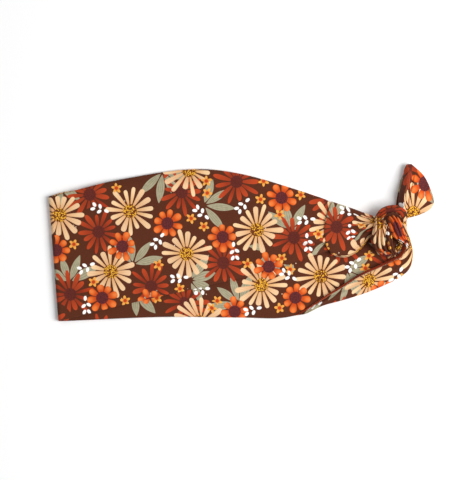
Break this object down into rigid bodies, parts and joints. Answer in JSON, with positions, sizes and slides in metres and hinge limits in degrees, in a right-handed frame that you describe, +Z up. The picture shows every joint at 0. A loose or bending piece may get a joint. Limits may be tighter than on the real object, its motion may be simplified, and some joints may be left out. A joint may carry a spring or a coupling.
{
  "type": "knotted headband",
  "caption": "Soft jersey headband with a floral print, tied in one knot with short pointed tails, lying folded flat.",
  "frame": {"origin": "centre of the folded headband's footprint, on the table", "axes": "+X from the back fold to the knot, +Y across the band, +Z up from the table"},
  "size_m": [0.255, 0.1037, 0.019],
  "materials": {
    "jersey_face": "brushed jersey, printed with flowers on dark brown",
    "jersey_lining": "brushed jersey, the same print",
    "seam_thread": "overlocked seam allowance and thread"
  },
  "bodies": {
    "lower_back": {"back_fold": "jersey_face", "lower_back_outer_panel": "jersey_face", "lower_back_inner_panel": "jersey_lining", "lower_back_seams": "seam_thread"},
    "upper_back": {"upper_back_outer_panel": "jersey_face", "upper_back_inner_panel": "jersey_lining", "upper_back_seams": "seam_thread"},
    "upper_front": {"upper_front_outer_panel": "jersey_face", "upper_front_inner_panel": "jersey_lining", "upper_front_seams": "seam_thread", "upper_pleat": "jersey_face", "upper_neck": "jersey_face"},
    "lower_front": {"lower_front_outer_panel": "jersey_face", "lower_front_inner_panel": "jersey_lining", "lower_front_seams": "seam_thread", "lower_rolled_edge": "jersey_face"},
    "knot": {"lower_neck": "jersey_face", "knot_front_wrap": "jersey_face", "knot_left_wrap": "jersey_face", "knot_hood": "jersey_face", "knot_middle_strand": "jersey_face", "knot_back_wrap": "jersey_face", "knot_side_column": "jersey_face", "front_tail_root": "jersey_face", "rear_tail_root": "jersey_face"},
    "front_tail": {"front_tail_outer_panel": "jersey_face", "front_tail_inner_panel": "jersey_lining", "front_tail_seam": "seam_thread"},
    "rear_tail": {"rear_tail_outer_panel": "jersey_face", "rear_tail_inner_panel": "jersey_lining", "rear_tail_seam": "seam_thread"}
  },
  "joints": [
    {"name": "loop_open", "type": "hinge", "parent": "lower_back", "child": "upper_back", "pos_m": [-0.12515, 0, 0.00235], "axis": [0, -1, 0], "range_deg": [0, 60]},
    {"name": "upper_bend", "type": "hinge", "parent": "upper_back", "child": "upper_front", "pos_m": [-0.01965, 0, 0.0025], "axis": [0, -1, 0], "range_deg": [-60, 0]},
    {"name": "lower_bend", "type": "hinge", "parent": "lower_back", "child": "lower_front", "pos_m": [-0.01965, 0, 0.0022], "axis": [0, -1, 0], "range_deg": [0, 60]},
    {"name": "knot_tilt", "type": "hinge", "parent": "lower_front", "child": "knot", "pos_m": [0.08585, 0, 0.00235], "axis": [0, -1, 0], "range_deg": [-30, 0]},
    {"name": "front_tail_lift", "type": "hinge", "parent": "knot", "child": "front_tail", "pos_m": [0.1077, 0.0133, 0.0056], "axis": [0.7912, -0.6115, 0], "range_deg": [0, 60]},
    {"name": "rear_tail_swing", "type": "hinge", "parent": "knot", "child": "rear_tail", "pos_m": [0.104, 0.017, 0.0014], "axis": [0, 0, 1], "range_deg": [0, 30]}
  ],
  "couplings": [
    {"joint": "upper_bend", "follows": "loop_open", "ratio": -1},
    {"joint": "lower_bend", "follows": "loop_open", "ratio": 1},
    {"joint": "knot_tilt", "follows": "loop_open", "ratio": -0.5}
  ]
}
